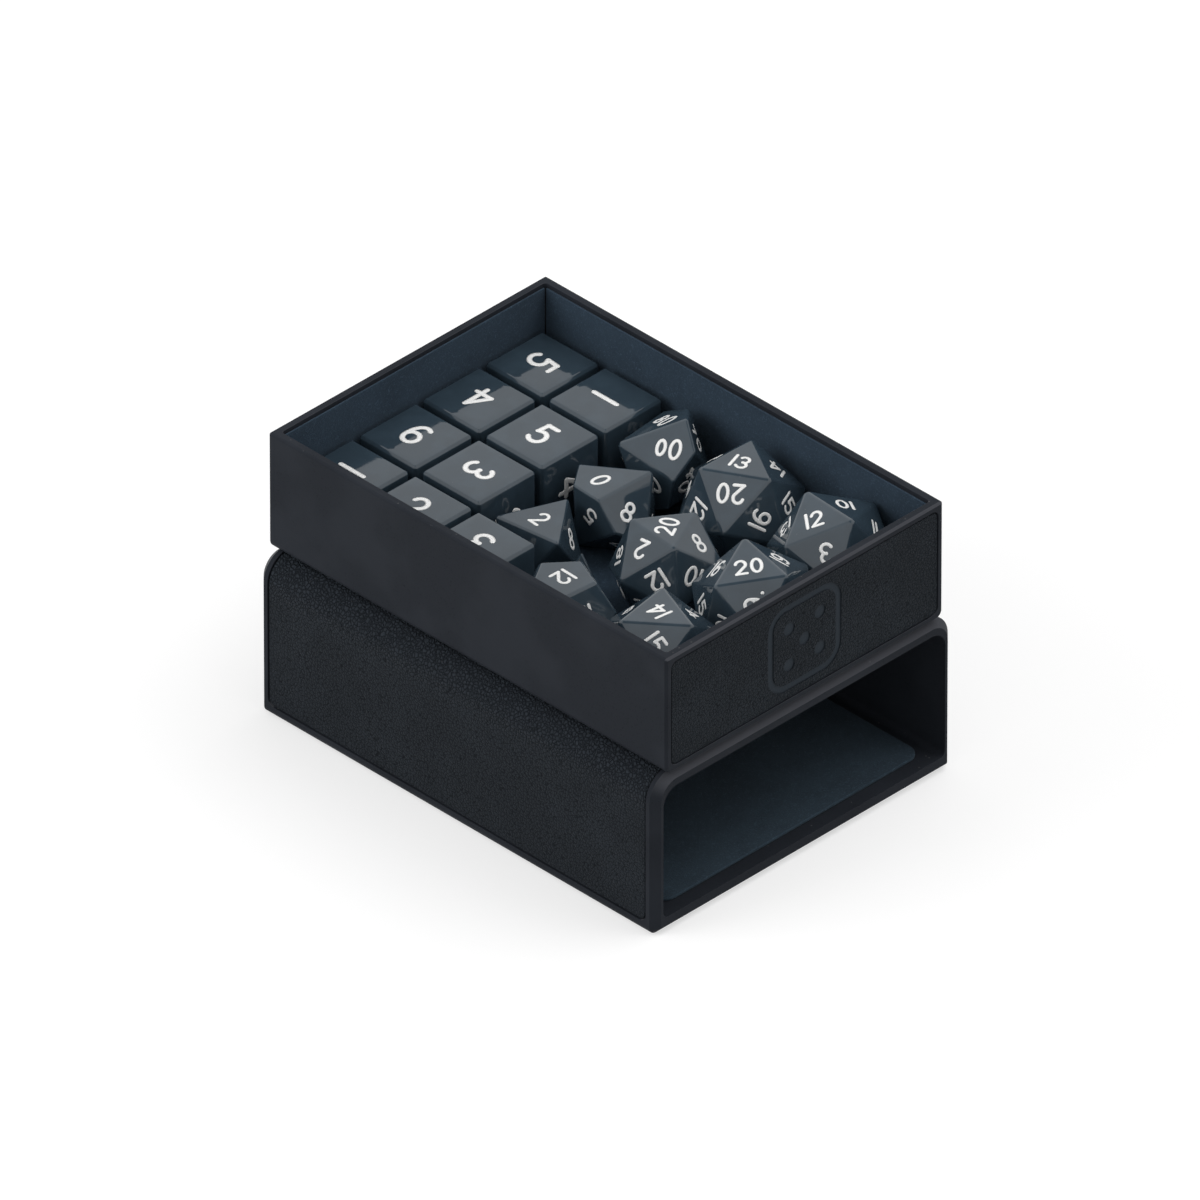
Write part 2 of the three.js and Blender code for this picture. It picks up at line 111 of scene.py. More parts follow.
class Board:
    """One node tree, with short ways to add nodes and to wire them.

    Attributes:
        tree: The tree that nodes are added to.
    """

    def __init__(self, tree: bpy.types.NodeTree) -> None:
        """Keeps the tree that nodes are added to."""
        self.tree = tree

    def add(self, kind: str, **settings: object) -> bpy.types.Node:
        """Adds a node.

        Args:
            kind: Blender's name of the node's type.
            settings: Attributes to set on the node.

        Returns:
            The new node.
        """
        node = self.tree.nodes.new(kind)
        for name, value in settings.items():
            setattr(node, name, value)
        return node

    def feed(self, value: Signal | Sequence[float], socket: Socket) -> None:
        """Puts a constant in a socket, or wires another socket to it."""
        if isinstance(value, Socket):
            self.tree.links.new(value, socket)
        else:
            socket.default_value = value

    def math(self, operation: str, first: Signal, second: Signal = 0.0) -> Socket:
        """Adds an operation on two numbers.

        Args:
            operation: Blender's name of the operation.
            first: First number.
            second: Second number.

        Returns:
            The socket that holds the result.
        """
        node = self.add("ShaderNodeMath", operation=operation)
        self.feed(first, node.inputs[0])
        self.feed(second, node.inputs[1])
        return node.outputs[0]

    def spread(self, value: Signal, low: float, high: float, start: float = 0.0,
               stop: float = 1.0) -> Socket:
        """Maps a range smoothly onto another one, held at its ends.

        Args:
            value: The number to map.
            low: Where the incoming range starts.
            high: Where the incoming range stops.
            start: What low becomes.
            stop: What high becomes.

        Returns:
            The socket that holds the result.
        """
        node = self.add("ShaderNodeMapRange", interpolation_type="SMOOTHSTEP")
        for socket, number in zip(node.inputs, (value, low, high, start, stop)):
            self.feed(number, socket)
        return node.outputs[0]

    def blend(self, share: Signal, first: Socket | Colour, second: Socket | Colour) -> Socket:
        """Mixes two colours.

        Args:
            share: How much of the second colour there is, from 0 to 1.
            first: Colour at 0.
            second: Colour at 1.

        Returns:
            The socket that holds the mixed colour.
        """
        node = self.add("ShaderNodeMix", data_type="RGBA")
        self.feed(share, node.inputs["Factor"])
        for socket, colour in ((node.inputs[6], first), (node.inputs[7], second)):
            self.feed(colour if isinstance(colour, Socket) else (*colour, 1.0), socket)
        return node.outputs[2]

    def noise(self, vector: Socket, scale: Signal, detail: float) -> Socket:
        """Adds a noise.

        Args:
            vector: Coordinates that it reads.
            scale: Its scale in those coordinates.
            detail: How many finer layers it has.

        Returns:
            The socket that holds its value.
        """
        node = self.add("ShaderNodeTexNoise")
        self.feed(vector, node.inputs["Vector"])
        self.feed(scale, node.inputs["Scale"])
        self.feed(detail, node.inputs["Detail"])
        return node.outputs["Fac"]

    def group(self, tree: bpy.types.NodeTree, **values: Signal) -> bpy.types.Node:
        """Adds a shared group.

        Args:
            tree: The group's tree.
            values: What goes into its sockets; an underscore stands for a space.

        Returns:
            The group's node.
        """
        node = self.add("ShaderNodeGroup", node_tree=tree)
        for name, value in values.items():
            self.feed(value, node.inputs[name.replace("_", " ")])
        return node

    def axes(self, vector: Socket) -> bpy.types.NodeOutputs:
        """Splits a vector.

        Args:
            vector: The vector.

        Returns:
            Its X, Y and Z.
        """
        split = self.add("ShaderNodeSeparateXYZ")
        self.feed(vector, split.inputs[0])
        return split.outputs

    def viewing_rays(self) -> tuple[Socket, Socket]:
        """Tells the rays that only look at a thing from those that light another.

        Returns:
            A mask of the camera's rays, reflections and rays through clear things, and one of
            the reflections alone.
        """
        path = self.add("ShaderNodeLightPath")
        glossy = path.outputs["Is Glossy Ray"]
        looking = self.math("MAXIMUM", path.outputs["Is Camera Ray"], glossy)
        return self.math("MAXIMUM", looking, path.outputs["Is Transmission Ray"]), glossy


class Effects:
    """Shader node groups that several finishes share.

    Their coordinates are in millimetres. A scale is over the effect's main one, a share is of its
    main height, a reach is over a pebble's size, and a range gives the values where a mask is
    empty and where it is full.
    """

    # Mould stipple
    FINE_SCALE: float = 2.7
    FINE_SHARE: float = 0.5
    PITS: Range = (0.42, 0.28)

    # Leather pebbles
    WARP_SCALE: float = 0.8
    WARP_REACH: float = 1.1
    SWELL_SCALE: float = 0.35
    PORE_SCALE: float = 4.0
    PORE_SHARE: float = 0.2
    DOMES: Range = (0.0, 0.28)
    CREASES: Range = (0.12, 0.0)

    # Felt nap
    LAY_SCALE: float = 0.6
    LAY_DISTORTION: float = 2.2
    TUFT_SCALE: float = 0.12
    TUFT_SHARE: float = 0.6
    FLECKS: Range = (0.52, 0.72)

    # Handling smudges
    PATCHES: Range = (0.42, 0.66)

    # Settled dust
    SPECKS_PER_MM: float = 0.7
    DRIFTS_PER_MM: float = 0.35
    DRIFTS_FROM: float = 0.56
    FACING_UP: Range = (0.2, 0.95)

    # End chamfers, where a highlight is painted
    ASLANT: Range = (0.12, 0.2)
    TOPWARD: Range = (0.2, 0.7)

    def __init__(self) -> None:
        """Builds every group once."""
        self.coordinates = self._coordinates()
        self.stipple = self._stipple()
        self.pebbles = self._pebbles()
        self.nap = self._nap()
        self.smudges = self._smudges()
        self.dust = self._dust()
        self.chamfers = self._chamfers()

    @staticmethod
    def _new(name: str, inputs: dict[str, float | None], outputs: Sequence[str]
             ) -> tuple[Board, bpy.types.NodeOutputs, bpy.types.NodeInputs]:
        """Starts a group.

        Args:
            name: The group's name.
            inputs: Names of its inputs with their defaults; None marks a vector.
            outputs: Names of its outputs.

        Returns:
            Its board, its inputs inside and its outputs inside.
        """
        tree = bpy.data.node_groups.new(name, "ShaderNodeTree")
        for label, default in inputs.items():
            kind = "NodeSocketVector" if default is None else "NodeSocketFloat"
            socket = tree.interface.new_socket(name=label, in_out="INPUT", socket_type=kind)
            if default is not None:
                socket.default_value = default
        for label in outputs:
            kind = "NodeSocketVector" if label == "Vector" else "NodeSocketFloat"
            tree.interface.new_socket(name=label, in_out="OUTPUT", socket_type=kind)
        board = Board(tree)
        start = board.add("NodeGroupInput")
        end = board.add("NodeGroupOutput")
        return board, start.outputs, end.inputs

    def _coordinates(self) -> bpy.types.NodeTree:
        """Object coordinates, in millimetres.

        Returns:
            The group's tree.
        """
        board, _, outputs = self._new("Millimetres", {}, ["Vector"])
        place = board.add("ShaderNodeTexCoord")
        scale = board.add("ShaderNodeVectorMath", operation="SCALE")
        board.feed(place.outputs["Object"], scale.inputs[0])
        board.feed(1 / MM, scale.inputs["Scale"])
        board.feed(scale.outputs[0], outputs["Vector"])
        return board.tree

    def _stipple(self) -> bpy.types.NodeTree:
        """The fine texture of a spark-eroded mould.

        Returns:
            The group's tree.
        """
        board, inputs, outputs = self._new("Mould Stipple", {"Vector": None, "Grain Size": 0.3},
                                           ["Height", "Pits"])
        scale = board.math("DIVIDE", 1.0, inputs["Grain Size"])
        coarse = board.noise(inputs["Vector"], scale, detail=3.0)
        fine = board.noise(inputs["Vector"], board.math("MULTIPLY", scale, self.FINE_SCALE), detail=1.0)
        low = board.math("MULTIPLY", fine, self.FINE_SHARE)
        board.feed(board.math("ADD", coarse, low), outputs["Height"])
        board.feed(board.spread(coarse, *self.PITS), outputs["Pits"])
        return board.tree

    def _pebbles(self) -> bpy.types.NodeTree:
        """Leather grain: uneven pebbles between soft creases, and long drawn wrinkles.

        Returns:
            The group's tree.
        """
        board, inputs, outputs = self._new(
            "Leather Pebbles", {"Vector": None, "Pebble Size": 0.9, "Wrinkle": 0.5}, ["Height", "Creases"])
        scale = board.math("DIVIDE", 1.0, inputs["Pebble Size"])
        warp = board.add("ShaderNodeTexNoise")
        board.feed(inputs["Vector"], warp.inputs["Vector"])
        board.feed(board.math("MULTIPLY", scale, self.WARP_SCALE), warp.inputs["Scale"])
        board.feed(3.0, warp.inputs["Detail"])
        shift = board.add("ShaderNodeVectorMath", operation="SCALE")
        board.feed(warp.outputs["Color"], shift.inputs[0])
        board.feed(board.math("MULTIPLY", inputs["Pebble Size"], self.WARP_REACH), shift.inputs["Scale"])
        bent = board.add("ShaderNodeVectorMath", operation="ADD")
        board.feed(inputs["Vector"], bent.inputs[0])
        board.feed(shift.outputs[0], bent.inputs[1])
        cells = board.add("ShaderNodeTexVoronoi", feature="DISTANCE_TO_EDGE")
        board.feed(bent.outputs[0], cells.inputs["Vector"])
        board.feed(scale, cells.inputs["Scale"])
        domes = board.spread(cells.outputs["Distance"], *self.DOMES)
        swell = board.noise(inputs["Vector"], board.math("MULTIPLY", scale, self.SWELL_SCALE), detail=2.0)
        pores = board.noise(inputs["Vector"], board.math("MULTIPLY", scale, self.PORE_SCALE), detail=1.0)
        height = board.math("ADD", domes, board.math("MULTIPLY", swell, inputs["Wrinkle"]))
        pricked = board.math("ADD", height, board.math("MULTIPLY", pores, self.PORE_SHARE))
        board.feed(pricked, outputs["Height"])
        board.feed(board.spread(cells.outputs["Distance"], *self.CREASES), outputs["Creases"])
        return board.tree

    def _nap(self) -> bpy.types.NodeTree:
        """Felt: short matted fibres that lie in all directions.

        Returns:
            The group's tree.
        """
        board, inputs, outputs = self._new("Felt Nap", {"Vector": None, "Fibre Size": 0.25},
                                           ["Height", "Flecks"])
        scale = board.math("DIVIDE", 1.0, inputs["Fibre Size"])
        lay = board.add("ShaderNodeTexNoise")
        board.feed(inputs["Vector"], lay.inputs["Vector"])
        board.feed(board.math("MULTIPLY", scale, self.LAY_SCALE), lay.inputs["Scale"])
        board.feed(4.0, lay.inputs["Detail"])
        board.feed(self.LAY_DISTORTION, lay.inputs["Distortion"])
        tufts = board.noise(inputs["Vector"], board.math("MULTIPLY", scale, self.TUFT_SCALE), detail=2.0)
        height = board.math("ADD", lay.outputs["Fac"], board.math("MULTIPLY", tufts, self.TUFT_SHARE))
        board.feed(height, outputs["Height"])
        board.feed(board.spread(lay.outputs["Fac"], *self.FLECKS), outputs["Flecks"])
        return board.tree

    def _smudges(self) -> bpy.types.NodeTree:
        """Broad, faint marks of handling.

        Returns:
            The group's tree.
        """
        board, inputs, outputs = self._new(
            "Handling Smudges", {"Vector": None, "Patch Size": 14.0, "Amount": 1.0}, ["Mask"])
        scale = board.math("DIVIDE", 1.0, inputs["Patch Size"])
        patches = board.spread(board.noise(inputs["Vector"], scale, detail=4.0), *self.PATCHES)
        board.feed(board.math("MULTIPLY", patches, inputs["Amount"]), outputs["Mask"])
        return board.tree

    def _dust(self) -> bpy.types.NodeTree:
        """Sparse specks, most on what faces up.

        Returns:
            The group's tree.
        """
        board, inputs, outputs = self._new(
            "Settled Dust", {"Vector": None, "Speck Size": 0.12, "Amount": 0.3}, ["Mask"])
        cells = board.add("ShaderNodeTexVoronoi")
        board.feed(inputs["Vector"], cells.inputs["Vector"])
        board.feed(self.SPECKS_PER_MM, cells.inputs["Scale"])
        specks = board.math("LESS_THAN", cells.outputs["Distance"], inputs["Speck Size"])
        normal = board.axes(board.add("ShaderNodeNewGeometry").outputs["Normal"])
        facing = board.spread(normal["Z"], *self.FACING_UP)
        drifts = board.noise(inputs["Vector"], self.DRIFTS_PER_MM, detail=0.0)
        chosen = board.math("GREATER_THAN", drifts, self.DRIFTS_FROM)
        mask = board.math("MULTIPLY", board.math("MULTIPLY", specks, facing), chosen)
        board.feed(board.math("MULTIPLY", mask, inputs["Amount"]), outputs["Mask"])
        return board.tree

    def _chamfers(self) -> bpy.types.NodeTree:
        """Faces that slant between an end and the top and face up, where the shell gets a painted
        highlight.

        Returns:
            The group's tree.
        """
        board, _, outputs = self._new("Painted Chamfer Highlight", {}, ["Mask"])
        normal = board.axes(board.add("ShaderNodeNewGeometry").outputs["Normal"])
        along = board.math("ABSOLUTE", normal["Y"])
        aslant = board.math("MULTIPLY", along, board.math("SUBTRACT", 1.0, along))
        upward = board.spread(normal["Z"], *self.TOPWARD)
        board.feed(board.math("MULTIPLY", board.spread(aslant, *self.ASLANT), upward), outputs["Mask"])
        return board.tree


def principled(name: str, colour: Colour, roughness: float, specular: float
               ) -> tuple[bpy.types.Material, Board, bpy.types.Node]:
    """Makes a material with its constants on the shader's own sockets.

    Args:
        name: The material's name.
        colour: Its colour, linear.
        roughness: Its roughness.
        specular: Its specular level.

    Returns:
        The material, its board and its shader.
    """
    material = bpy.data.materials.new(name)
    material.use_nodes = True
    board = Board(material.node_tree)
    shader = material.node_tree.nodes["Principled BSDF"]
    board.feed((*colour, 1.0), shader.inputs["Base Color"])
    board.feed(roughness, shader.inputs["Roughness"])
    board.feed(specular, shader.inputs["Specular IOR Level"])
    return material, board, shader


@dataclass(frozen=True)
class Dust:
    """Specks of dust on a finish.

    Attributes:
        amount: How much of their colour shows.
        grey: How pale they are, linear.
        speck: Size of a speck over the room that it has.
    """

    amount: float
    grey: float
    speck: float = 0.12

    def over(self, board: Board, effects: Effects, place: Socket, under: Socket) -> Socket:
        """Lays the specks over a colour.

        Args:
            board: The material's board.
            effects: The shared groups.
            place: Coordinates in millimetres.
            under: The colour below them.

        Returns:
            The socket that holds the dusty colour.
        """
        specks = board.group(effects.dust, Vector=place, Amount=self.amount, Speck_Size=self.speck)
        return board.blend(specks.outputs["Mask"], under, (self.grey, self.grey, self.grey))


@dataclass(frozen=True)
class Finish:
    """What every finish has; each kind of finish has its own depth and strength.

    Attributes:
        name: The material's name.
        colour: Main colour, linear.
        roughness: Roughness where nothing changes it.
        specular: Specular level.
        depth: What a height of 1 is, in millimetres.
        strength: How much of the relief shows.
    """

    name: str
    colour: Colour
    roughness: float
    specular: float = 0.5
    depth: float = 0.01
    strength: float = 1.0

    def start(self, effects: Effects) -> tuple[bpy.types.Material, Board, bpy.types.Node, Socket]:
        """Makes the material with its shader.

        Args:
            effects: The shared groups.

        Returns:
            The material, its board, its shader and its coordinates in millimetres.
        """
        material, board, shader = principled(self.name, self.colour, self.roughness, self.specular)
        return material, board, shader, board.group(effects.coordinates).outputs["Vector"]

    def relief(self, board: Board, shader: bpy.types.Node, height: Signal) -> None:
        """Raises the surface by a height of about 0 to 1.

        Args:
            board: The material's board.
            shader: Its shader.
            height: The height.
        """
        bump = board.add("ShaderNodeBump")
        board.feed(height, bump.inputs["Height"])
        board.feed(self.depth * MM, bump.inputs["Distance"])
        board.feed(self.strength, bump.inputs["Strength"])
        board.feed(bump.outputs["Normal"], shader.inputs["Normal"])

    def roughen(self, board: Board, shader: bpy.types.Node, mask: Socket, change: float) -> None:
        """Changes the roughness where a mask is full.

        Args:
            board: The material's board.
            shader: Its shader.
            mask: The mask.
            change: What is added there.
        """
        board.feed(board.spread(mask, 0.0, 1.0, self.roughness, self.roughness + change),
                   shader.inputs["Roughness"])

    def tinted(self, share: float) -> Colour:
        """The main colour times a share."""
        return tuple(channel * share for channel in self.colour)


@dataclass(frozen=True)
class ShellPlastic(Finish):
    """Moulded plastic with a fine eroded texture and paler chamfers at its ends, a painted highlight.

    Attributes:
        grain_size: Size of the texture, in millimetres.
        pit_tint: The main colour's share in its pits, painted shade.
        patch_size: Size of the patches left by handling, in millimetres.
        patch_tint: The main colour's share there.
        patch_shine: How much less rough they are.
        chamfer_colour: Colour of the chamfers between the ends and the top, linear; a painted highlight.
        dust: Its dust.
    """

    depth: float = 0.014
    grain_size: float = 0.34
    pit_tint: float = 0.72
    patch_size: float = 17.0
    patch_tint: float = 1.18
    patch_shine: float = 0.07
    chamfer_colour: Colour = (0.062, 0.065, 0.075)
    dust: Dust = Dust(0.22, 0.2)

    def make(self, effects: Effects) -> bpy.types.Material:
        """Makes the material.

        Args:
            effects: The shared groups.

        Returns:
            The material.
        """
        material, board, shader, place = self.start(effects)
        stipple = board.group(effects.stipple, Vector=place, Grain_Size=self.grain_size)
        patches = board.group(effects.smudges, Vector=place, Patch_Size=self.patch_size).outputs["Mask"]
        # Darkens the stipple's pits: painted shade.
        pit_shaded = board.blend(stipple.outputs["Pits"], self.colour, self.tinted(self.pit_tint))
        handled_and_pit_shaded = board.blend(patches, pit_shaded, self.tinted(self.patch_tint))
        chamfers = board.group(effects.chamfers).outputs["Mask"]
        # Lightens the upward-facing end chamfers: a painted highlight.
        chamfer_highlit = board.blend(chamfers, handled_and_pit_shaded, self.chamfer_colour)
        board.feed(self.dust.over(board, effects, place, chamfer_highlit), shader.inputs["Base Color"])
        self.roughen(board, shader, patches, -self.patch_shine)
        self.relief(board, shader, stipple.outputs["Height"])
        return material


@dataclass(frozen=True)
class GrainedLeather(Finish):
    """Pebbled leather. Its grain opens where the sheet bends over the shoulders, and there its colour is
    lightened as a painted highlight.

    Attributes:
        pebble: Size of a pebble, in millimetres.
        crease_tint: The main colour's share in the creases, painted shade.
        crease_roughness: How much rougher the creases are.
        patch_size: Size of the patches left by handling, in millimetres.
        patch_tint: The main colour's share there.
        dust: Its dust.
        bend_from: Height above which the grain deepens and the painted highlight starts, in millimetres.
        bend_to: Height at which it is deepest; 0 for a flat sheet.
        flat_relief: The grain's height below the bend, over its full one.
        bent_relief: Its height above the bend.
        bent_tint: The main colour's share above the bend, a painted highlight.
        pressed_from: How far back a pressed mark starts, along Y in millimetres; 0 for none.
        pressed_blur: How far its start is spread to either side.
        pressed_relief: The grain's height in the mark, over its full one.
        pressed_tint: The main colour's share in the mark.
    """

    depth: float = 0.11
    strength: float = 0.9
    pebble: float = 0.7
    crease_tint: float = 0.48
    crease_roughness: float = 0.2
    patch_size: float = 11.0
    patch_tint: float = 1.22
    dust: Dust = Dust(0.16, 0.18)
    bend_from: float = 0.0
    bend_to: float = 0.0
    flat_relief: float = 0.85
    bent_relief: float = 2.9
    bent_tint: float = 1.55
    pressed_from: float = 0.0
    pressed_blur: float = 0.03
    pressed_relief: float = 0.08
    pressed_tint: float = 1.8

    def make(self, effects: Effects) -> bpy.types.Material:
        """Makes the material.

        Args:
            effects: The shared groups.

        Returns:
            The material.
        """
        material, board, shader, place = self.start(effects)
        pebbles = board.group(effects.pebbles, Vector=place, Pebble_Size=self.pebble)
        patches = board.group(effects.smudges, Vector=place, Patch_Size=self.patch_size).outputs["Mask"]
        height, creases = pebbles.outputs["Height"], pebbles.outputs["Creases"]
        worn_and_highlit = board.blend(patches, self.colour, self.tinted(self.patch_tint))
        along = board.axes(place)
        if self.bend_to > 0:
            bent = board.spread(along["Z"], self.bend_from, self.bend_to)
            opened = board.spread(bent, 0.0, 1.0, self.flat_relief, self.bent_relief)
            height = board.math("MULTIPLY", height, opened)
            # Lightens the colour over the shoulder: a painted highlight.
            worn_and_highlit = board.blend(bent, worn_and_highlit, self.tinted(self.bent_tint))
        # Darkens the creases between the pebbles: painted shade.
        skin = board.blend(creases, worn_and_highlit, self.tinted(self.crease_tint))
        if self.pressed_from != 0:
            pressed = board.spread(along["Y"], self.pressed_from - self.pressed_blur,
                                   self.pressed_from + self.pressed_blur)
            flattened = board.spread(pressed, 0.0, 1.0, 1.0, self.pressed_relief)
            height = board.math("MULTIPLY", height, flattened)
            skin = board.blend(pressed, skin, self.tinted(self.pressed_tint))
        board.feed(self.dust.over(board, effects, place, skin), shader.inputs["Base Color"])
        self.roughen(board, shader, creases, self.crease_roughness)
        self.relief(board, shader, height)
        return material


@dataclass(frozen=True)
class WoolFelt(Finish):
    """Pressed felt with a short nap.

    Attributes:
        fibre: Size of its fibres, in millimetres.
        fleck_tint: The main colour's share in the lighter fibres.
        patch_size: Size of the patches that lie flatter, in millimetres.
        patch_tint: The main colour's share there.
        sheen: Weight of its sheen.
        sheen_roughness: The sheen's roughness.
    """

    depth: float = 0.12
    strength: float = 0.8
    fibre: float = 0.42
    fleck_tint: float = 1.45
    patch_size: float = 9.0
    patch_tint: float = 0.85
    sheen: float = 0.05
    sheen_roughness: float = 0.6

    def make(self, effects: Effects) -> bpy.types.Material:
        """Makes the material.

        Args:
            effects: The shared groups.

        Returns:
            The material.
        """
        material, board, shader, place = self.start(effects)
        nap = board.group(effects.nap, Vector=place, Fibre_Size=self.fibre)
        patches = board.group(effects.smudges, Vector=place, Patch_Size=self.patch_size).outputs["Mask"]
        brushed = board.blend(patches, self.colour, self.tinted(self.patch_tint))
        flecked = board.blend(nap.outputs["Flecks"], brushed, self.tinted(self.fleck_tint))
        board.feed(flecked, shader.inputs["Base Color"])
        board.feed(self.sheen, shader.inputs["Sheen Weight"])
        board.feed(self.sheen_roughness, shader.inputs["Sheen Roughness"])
        self.relief(board, shader, nap.outputs["Height"])
        return material


@dataclass(frozen=True)
class CastResin(Finish):
    """Polished resin of the dice, with faint flow marks under a clear surface.

    Attributes:
        flow_size: Size of the waves in the polish, in millimetres.
        patch_size: Size of the patches left by handling, in millimetres.
        patch_tint: The main colour's share there.
        patch_haze: How much rougher they are.
        dust: Its dust.
    """

    depth: float = 0.004
    strength: float = 0.6
    flow_size: float = 2.4
    patch_size: float = 5.0
    patch_tint: float = 1.15
    patch_haze: float = 0.03
    dust: Dust = Dust(0.3, 0.25, 0.05)

    def make(self, effects: Effects) -> bpy.types.Material:
        """Makes the material.

        Args:
            effects: The shared groups.

        Returns:
            The material.
        """
        material, board, shader, place = self.start(effects)
        patches = board.group(effects.smudges, Vector=place, Patch_Size=self.patch_size).outputs["Mask"]
        waves = board.group(effects.stipple, Vector=place, Grain_Size=self.flow_size)
        swirl = board.blend(patches, self.colour, self.tinted(self.patch_tint))
        board.feed(self.dust.over(board, effects, place, swirl), shader.inputs["Base Color"])
        self.roughen(board, shader, patches, self.patch_haze)
        self.relief(board, shader, waves.outputs["Height"])
        return material


@dataclass(frozen=True)
class NumeralPaint(Finish):
    """White paint in the numerals.

    Attributes:
        grain_size: Size of its brush marks, in millimetres.
        pit_tint: The main colour's share in their hollows, painted shade.
    """

    strength: float = 0.7
    grain_size: float = 0.5
    pit_tint: float = 0.9

    def make(self, effects: Effects) -> bpy.types.Material:
        """Makes the material.

        Args:
            effects: The shared groups.

        Returns:
            The material.
        """
        material, board, shader, place = self.start(effects)
        stipple = board.group(effects.stipple, Vector=place, Grain_Size=self.grain_size)
        # Darkens the hollows of the brush marks: painted shade.
        board.feed(board.blend(stipple.outputs["Pits"], self.colour, self.tinted(self.pit_tint)),
                   shader.inputs["Base Color"])
        self.relief(board, shader, stipple.outputs["Height"])
        return material


@dataclass(frozen=True)
class Rounding:
    """How a piece's edges are rounded.

    Attributes:
        width: Width of the rounding, in metres.
        steps: Steps across it.
        from_turn: Smallest turn of an edge that is rounded, in degrees.
    """

    width: float
    steps: int
    from_turn: float


def merged_copy(source: bpy.types.Object) -> bmesh.types.BMesh:
    """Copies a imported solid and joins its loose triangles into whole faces.

    Args:
        source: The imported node's object.

    Returns:
        The copy, which the caller frees.
    """
    solid = bmesh.new()
    solid.from_mesh(source.data)
    bmesh.ops.remove_doubles(solid, verts=solid.verts[:], dist=MERGE_WITHIN)
    bmesh.ops.dissolve_limit(solid, angle_limit=math.radians(FLAT_WITHIN), verts=solid.verts[:],
                             edges=solid.edges[:], delimit=set())
    return solid


def soften(solid: bmesh.types.BMesh, edge: Rounding) -> None:
    """Rounds the sharper edges of a solid.

    Args:
        solid: The solid to change.
        edge: How they are rounded.
    """
    least = math.radians(edge.from_turn)
    sharp = [line for line in solid.edges if line.is_manifold and line.calc_face_angle(0.0) > least]
    bmesh.ops.bevel(solid, geom=sharp, offset=edge.width, offset_type="OFFSET", segments=edge.steps,
                    profile=0.5, affect="EDGES", clamp_overlap=True, material=-1)


def stand(name: str, data: bpy.types.ID) -> bpy.types.Object:
    """Makes an object and links it to the scene.

    Args:
        name: Its name.
        data: Its mesh, curve, lamp or camera.

    Returns:
        The object.
    """
    made = bpy.data.objects.new(name, data)
    bpy.context.scene.collection.objects.link(made)
    return made


def piece_from(solid: bmesh.types.BMesh, name: str, material: bpy.types.Material,
               smooth_below: float = SMOOTH_BELOW) -> bpy.types.Object:
    """Turns a solid into an object of the scene with even shading.

    Args:
        solid: The solid, which is freed.
        name: The object's name.
        material: Its finish.
        smooth_below: Edges that turn by less are shaded smooth, in degrees.

    Returns:
        The object.
    """
    mesh = bpy.data.meshes.new(name)
    solid.to_mesh(mesh)
    solid.free()
    mesh.materials.append(material)
    mesh.polygons.foreach_set("use_smooth", [True] * len(mesh.polygons))
    mesh.set_sharp_from_angle(angle=math.radians(smooth_below))
    made = stand(name, mesh)
    even = made.modifiers.new("even_shading", "WEIGHTED_NORMAL")
    even.keep_sharp = True
    return made


def dressed(source: bpy.types.Object, name: str, material: bpy.types.Material, edge: Rounding
            ) -> bpy.types.Object:
    """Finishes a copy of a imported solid.

    Args:
        source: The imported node's object.
        name: The finished piece's name.
        material: Its finish.
        edge: How its edges are rounded.

    Returns:
        The finished piece.
    """
    solid = merged_copy(source)
    soften(solid, edge)
    return piece_from(solid, name, material)


def mount(made: bpy.types.Object, body: str, slot: Slot, *nodes: str) -> None:
    """Puts a piece on its body and hides the nodes that it stands for.

    Args:
        made: The piece.
        body: The body that it moves with.
        slot: Its material slot; not used.
        nodes: Nodes that it replaces.
    """
    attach(made, body)
    if nodes:
        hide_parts(*nodes)
    LOG.info("%s rides on %s, %d faces", made.name, body, len(made.data.polygons))


@dataclass
class Sleeve:
    """The slip sleeve: a moulded case, its leather wrap and the felt on its floor.

    Attributes:
        case_edge: Rounding of the case's edges.
        wrap_edge: Rounding of the wrap's edges.
        pad_edge: Rounding of the felt's edges.
        wrap_cut: Width and length that the wrap was cut to, in metres; not used.
    """

    case_edge: Rounding = Rounding(0.12 * MM, 2, 28.0)
    wrap_edge: Rounding = Rounding(0.22 * MM, 3, 40.0)
    pad_edge: Rounding = Rounding(0.25 * MM, 2, 40.0)
    wrap_cut: Point = (134.2 * MM, 95.7 * MM)

    def build(self, nodes: Objects, finishes: Materials) -> None:
        """Builds the sleeve's pieces.

        Args:
            nodes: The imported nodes.
            finishes: Materials by name.
        """
        body = Body.SLEEVE.value
        case = dressed(nodes["sleeve_case"], "sleeve_shell", finishes["shell"], self.case_edge)
        mount(case, body, Slot.SHELL, "sleeve_case")
        skin = dressed(nodes["sleeve_leather_wrap"], "sleeve_wrap", finishes["wrap"], self.wrap_edge)
        mount(skin, body, Slot.LEATHER, "sleeve_leather_wrap")
        # The floor felt takes the darker copy of the felt: painted shade.
        laid = dressed(nodes["sleeve_floor_felt"], "sleeve_felt", finishes["pad"], self.pad_edge)
        mount(laid, body, Slot.FELT, "sleeve_floor_felt")


